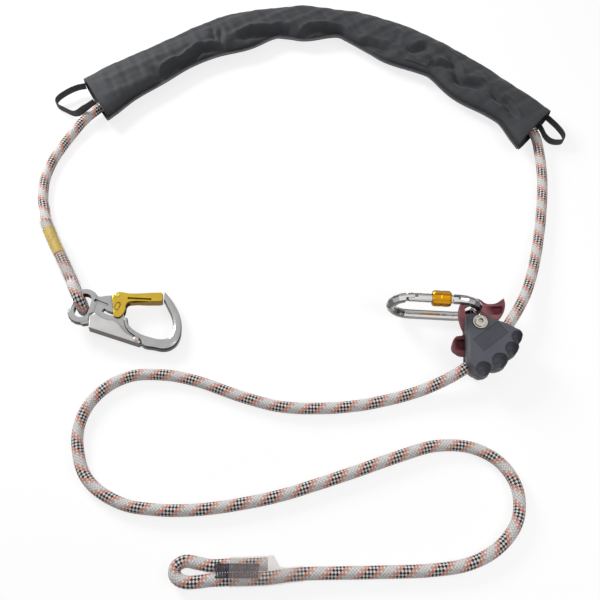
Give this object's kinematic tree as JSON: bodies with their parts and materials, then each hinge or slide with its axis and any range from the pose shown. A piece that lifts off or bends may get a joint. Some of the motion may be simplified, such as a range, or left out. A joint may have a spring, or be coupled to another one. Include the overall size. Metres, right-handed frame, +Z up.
{
  "type": "tree climbing lanyard",
  "caption": "Braided rope lanyard with sewn eyes, a protective fabric sleeve, a cam rope adjuster, a double action hook and a screw gate karabiner.",
  "frame": {"origin": "on the resting surface, under the middle of the box of the sleeve, hook and adjuster", "axes": "+X along the sleeve from the hook's side to the adjuster's side, +Y from the free rope end to the sleeve, +Z up"},
  "size_m": [0.6773, 0.7882, 0.0616],
  "materials": {
    "rope": "light braid with dark and orange tracer bands",
    "clear_cover": "clear shrink tube",
    "label": "bare yellow label",
    "thread": "dense sewing",
    "fabric": "charcoal woven fabric",
    "piping": "charcoal piped seam",
    "tag": "bare woven tag",
    "webbing": "black webbing",
    "aluminium": "polished forging",
    "gold": "gold anodised",
    "gold_nut": "orange anodised",
    "steel": "zinc plated",
    "chrome": "bright polished steel",
    "maroon": "maroon anodised",
    "shell": "grey moulded nylon"
  },
  "bodies": {
    "lanyard": {"rope_main": "rope", "rope_tail": "rope", "hook_eye_rope": "rope", "end_eye_rope": "rope", "hook_splice_cover": "clear_cover", "splice_label": "label", "end_stitching": "thread", "end_splice_cover": "clear_cover", "sleeve": "fabric", "sleeve_end_left": "fabric", "sleeve_end_right": "fabric", "sleeve_hem_left": "fabric", "sleeve_hem_right": "fabric", "sleeve_seam": "piping", "sleeve_tag": "tag", "pull_loop_left": "webbing", "pull_loop_right": "webbing", "adjuster_shell_front": "shell", "adjuster_shell_back": "shell", "adjuster_bolt": "steel", "adjuster_washer": "steel", "adjuster_nut": "steel", "cam_bush": "steel", "shell_screw_1": "steel", "shell_screw_2": "steel"},
    "cam_lever": {"cam": "maroon"},
    "karabiner": {"karabiner_body": "chrome", "karabiner_hinge_pin": "steel"},
    "karabiner_arm": {"karabiner_gate": "chrome", "karabiner_latch_pin": "steel"},
    "screw_sleeve": {"karabiner_nut": "gold_nut"},
    "hook": {"hook_frame": "aluminium", "hook_gate_rivet": "gold", "hook_lever_rivet": "gold"},
    "hook_gate_arm": {"hook_gate": "gold", "hook_gate_pin": "steel"},
    "hook_lock": {"hook_lever": "aluminium"}
  },
  "joints": [
    {"name": "hook_swing", "type": "hinge", "parent": "lanyard", "child": "hook", "pos_m": [-0.2552, -0.2032, 0.01885], "axis": [0, 0, 1], "range_deg": [-10, 18]},
    {"name": "hook_gate_pivot", "type": "hinge", "parent": "hook", "child": "hook_gate_arm", "pos_m": [-0.21882, -0.18502, 0.01475], "axis": [0.1119, 0, 0.9937], "range_deg": [-30, 0], "stiffness_Nm_per_rad": 0.05, "springref_deg": 28.65},
    {"name": "hook_lever_pivot", "type": "hinge", "parent": "hook", "child": "hook_lock", "pos_m": [-0.19211, -0.23968, 0.01175], "axis": [0.1119, 0, 0.9937], "range_deg": [-3.5, 0], "stiffness_Nm_per_rad": 0.2, "springref_deg": 17.19},
    {"name": "cam_pivot", "type": "hinge", "parent": "lanyard", "child": "cam_lever", "pos_m": [0.1904, -0.2286, 0.0195], "axis": [0, 0, 1], "range_deg": [-7, 0], "stiffness_Nm_per_rad": 0.1, "springref_deg": 22.92},
    {"name": "karabiner_swing", "type": "hinge", "parent": "cam_lever", "child": "karabiner", "pos_m": [0.18816, -0.20718, 0.0195], "axis": [0, 0, 1], "range_deg": [-70, 8]},
    {"name": "karabiner_gate_pivot", "type": "hinge", "parent": "karabiner", "child": "karabiner_arm", "pos_m": [0.11427, -0.20483, 0.05274], "axis": [0.0592, 0.9964, 0.061], "range_deg": [0, 25], "stiffness_Nm_per_rad": 0.05, "springref_deg": -22.92},
    {"name": "nut_travel", "type": "slide", "parent": "karabiner_arm", "child": "screw_sleeve", "axis": [0.9982, -0.0593, 0], "range_m": [0, 0.007]}
  ]
}
